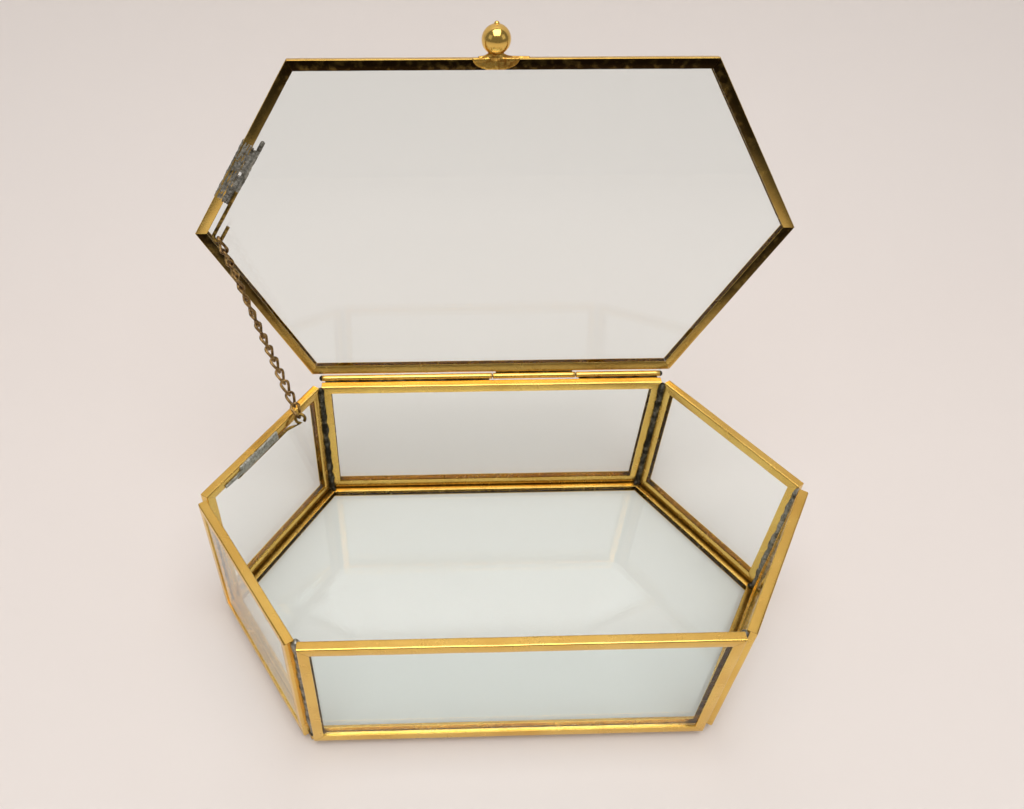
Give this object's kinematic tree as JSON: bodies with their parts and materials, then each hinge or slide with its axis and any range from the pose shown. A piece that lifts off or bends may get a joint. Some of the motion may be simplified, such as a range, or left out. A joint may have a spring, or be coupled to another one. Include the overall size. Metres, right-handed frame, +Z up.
{
  "type": "glass casket box",
  "caption": "Hexagonal glass keepsake box: brass-edged panes, a lid on a tube hinge with a ball knob, and a chain that stops the open lid.",
  "frame": {"origin": "centre of the base's underside, where the box rests", "axes": "+X along the length to the right, +Y to the hinge at the back, +Z up"},
  "size_m": [0.1828, 0.1277, 0.1602],
  "materials": {
    "pane_glass": "clear, polished",
    "brass_came": "polished",
    "knob_brass": "polished",
    "aged_brass": "aged",
    "chain_brass": "aged",
    "solder": "dull"
  },
  "bodies": {
    "box": {"base_glass": "pane_glass", "base_frame": "brass_came", "base_solder": "solder", "front_glass": "pane_glass", "front_frame": "brass_came", "right_front_glass": "pane_glass", "right_front_frame": "brass_came", "right_back_glass": "pane_glass", "right_back_frame": "brass_came", "back_glass": "pane_glass", "back_frame": "brass_came", "left_back_glass": "pane_glass", "left_back_frame": "brass_came", "left_front_glass": "pane_glass", "left_front_frame": "brass_came", "front_left_solder": "solder", "front_right_solder": "solder", "right_solder": "solder", "back_right_solder": "solder", "back_left_solder": "solder", "left_solder": "solder", "hinge_tube_left": "brass_came", "hinge_tube_right": "brass_came", "hinge_wire": "aged_brass", "hinge_box_solder": "solder", "rim_eye": "aged_brass", "rim_eye_solder": "solder"},
    "lid": {"hinge_tube_lid": "brass_came", "hinge_lid_solder": "solder", "lid_glass": "pane_glass", "lid_frame": "brass_came", "lid_knob": "knob_brass", "knob_solder": "solder", "lid_hook": "aged_brass", "lid_hook_solder": "solder"},
    "chain_link_01": {"chain_link_01": "chain_brass"},
    "chain_link_02": {"chain_link_02": "chain_brass"},
    "chain_link_03": {"chain_link_03": "chain_brass"},
    "chain_link_04": {"chain_link_04": "chain_brass"},
    "chain_link_05": {"chain_link_05": "chain_brass"},
    "chain_link_06": {"chain_link_06": "chain_brass"},
    "chain_link_07": {"chain_link_07": "chain_brass"},
    "chain_link_08": {"chain_link_08": "chain_brass"},
    "chain_link_09": {"chain_link_09": "chain_brass"},
    "chain_link_10": {"chain_link_10": "chain_brass"},
    "chain_link_11": {"chain_link_11": "chain_brass"},
    "chain_link_12": {"chain_link_12": "chain_brass"},
    "chain_link_13": {"chain_link_13": "chain_brass"},
    "chain_link_14": {"chain_link_14": "chain_brass"},
    "chain_link_15": {"chain_link_15": "chain_brass"}
  },
  "joints": [
    {"name": "lid_hinge", "type": "hinge", "parent": "box", "child": "lid", "pos_m": [0, 0.0507, 0.05348], "axis": [1, 0, 0], "range_deg": [0, 102.2]},
    {"name": "chain_link_15_swing", "type": "hinge", "parent": "lid", "child": "chain_link_15", "pos_m": [-0.08355, 0.05887, 0.10243], "axis": [-0.9717, -0.2353, 0.019], "range_deg": [-0.5, 63.56]},
    {"name": "chain_link_14_swing", "type": "hinge", "parent": "chain_link_15", "child": "chain_link_14", "pos_m": [-0.08234, 0.0573, 0.09961], "axis": [0.8067, -0.5624, -0.1818], "range_deg": [-0.5, 23.51]},
    {"name": "chain_link_13_swing", "type": "hinge", "parent": "chain_link_14", "child": "chain_link_13", "pos_m": [-0.08094, 0.05561, 0.09627], "axis": [0.991, -0.1242, -0.0494], "range_deg": [-0.5, 20.67]},
    {"name": "chain_link_12_swing", "type": "hinge", "parent": "chain_link_13", "child": "chain_link_12", "pos_m": [-0.07954, 0.05392, 0.09293], "axis": [0.8736, 0.2144, 0.4368], "range_deg": [-0.5, 14.96]},
    {"name": "chain_link_11_swing", "type": "hinge", "parent": "chain_link_12", "child": "chain_link_11", "pos_m": [-0.07815, 0.05223, 0.0896], "axis": [-0.0147, 0.4723, 0.8813], "range_deg": [-0.5, 22.66]},
    {"name": "chain_link_10_swing", "type": "hinge", "parent": "chain_link_11", "child": "chain_link_10", "pos_m": [-0.07675, 0.05054, 0.08626], "axis": [-0.4819, 0.4016, 0.7788], "range_deg": [-0.5, 23.5]},
    {"name": "chain_link_09_swing", "type": "hinge", "parent": "chain_link_10", "child": "chain_link_09", "pos_m": [-0.07535, 0.04885, 0.08292], "axis": [-0.4945, 0.3859, 0.7788], "range_deg": [-0.5, 23.5]},
    {"name": "chain_link_08_swing", "type": "hinge", "parent": "chain_link_09", "child": "chain_link_08", "pos_m": [-0.07396, 0.04716, 0.07959], "axis": [-0.3753, 0.307, 0.8746], "range_deg": [-0.5, 23.5]},
    {"name": "chain_link_07_swing", "type": "hinge", "parent": "chain_link_08", "child": "chain_link_07", "pos_m": [-0.07256, 0.04547, 0.07625], "axis": [-0.5023, -0.047, 0.8634], "range_deg": [-0.5, 23.5]},
    {"name": "chain_link_01_swing", "type": "hinge", "parent": "box", "child": "chain_link_01", "pos_m": [-0.06245, 0.03325, 0.0521], "axis": [-0.1007, 0.8702, -0.4822], "range_deg": [-0.5, 136.5]},
    {"name": "chain_link_02_swing", "type": "hinge", "parent": "chain_link_01", "child": "chain_link_02", "pos_m": [-0.06417, 0.03534, 0.05623], "axis": [0.3017, 0.8521, -0.4277], "range_deg": [-0.5, 23.5]},
    {"name": "chain_link_03_swing", "type": "hinge", "parent": "chain_link_02", "child": "chain_link_03", "pos_m": [-0.06557, 0.03703, 0.05957], "axis": [0.2866, 0.8547, -0.4328], "range_deg": [-0.5, 23.5]},
    {"name": "chain_link_04_swing", "type": "hinge", "parent": "chain_link_03", "child": "chain_link_04", "pos_m": [-0.06697, 0.03872, 0.0629], "axis": [0.2656, 0.858, -0.4396], "range_deg": [-0.5, 23.5]},
    {"name": "chain_link_05_swing", "type": "hinge", "parent": "chain_link_04", "child": "chain_link_05", "pos_m": [-0.06837, 0.04041, 0.06624], "axis": [0.2431, 0.8632, -0.4424], "range_deg": [-0.5, 23.5]},
    {"name": "chain_link_06_swing", "type": "hinge", "parent": "chain_link_05", "child": "chain_link_06", "pos_m": [-0.06976, 0.04209, 0.06958], "axis": [0.2984, 0.855, -0.4243], "range_deg": [-0.5, 23.5]}
  ],
  "couplings": [
    {"joint": "chain_link_15_swing", "follows": "lid_hinge", "ratio": 0.61701},
    {"joint": "chain_link_14_swing", "follows": "lid_hinge", "ratio": 0.22511},
    {"joint": "chain_link_13_swing", "follows": "lid_hinge", "ratio": 0.19735},
    {"joint": "chain_link_12_swing", "follows": "lid_hinge", "ratio": 0.14146},
    {"joint": "chain_link_11_swing", "follows": "lid_hinge", "ratio": 0.21688},
    {"joint": "chain_link_10_swing", "follows": "lid_hinge", "ratio": 0.22506},
    {"joint": "chain_link_09_swing", "follows": "lid_hinge", "ratio": 0.22505},
    {"joint": "chain_link_08_swing", "follows": "lid_hinge", "ratio": 0.22505},
    {"joint": "chain_link_07_swing", "follows": "lid_hinge", "ratio": 0.22505},
    {"joint": "chain_link_01_swing", "follows": "lid_hinge", "ratio": 1.3308},
    {"joint": "chain_link_02_swing", "follows": "lid_hinge", "ratio": 0.22506},
    {"joint": "chain_link_03_swing", "follows": "lid_hinge", "ratio": 0.22506},
    {"joint": "chain_link_04_swing", "follows": "lid_hinge", "ratio": 0.22506},
    {"joint": "chain_link_05_swing", "follows": "lid_hinge", "ratio": 0.22506},
    {"joint": "chain_link_06_swing", "follows": "lid_hinge", "ratio": 0.22505}
  ]
}
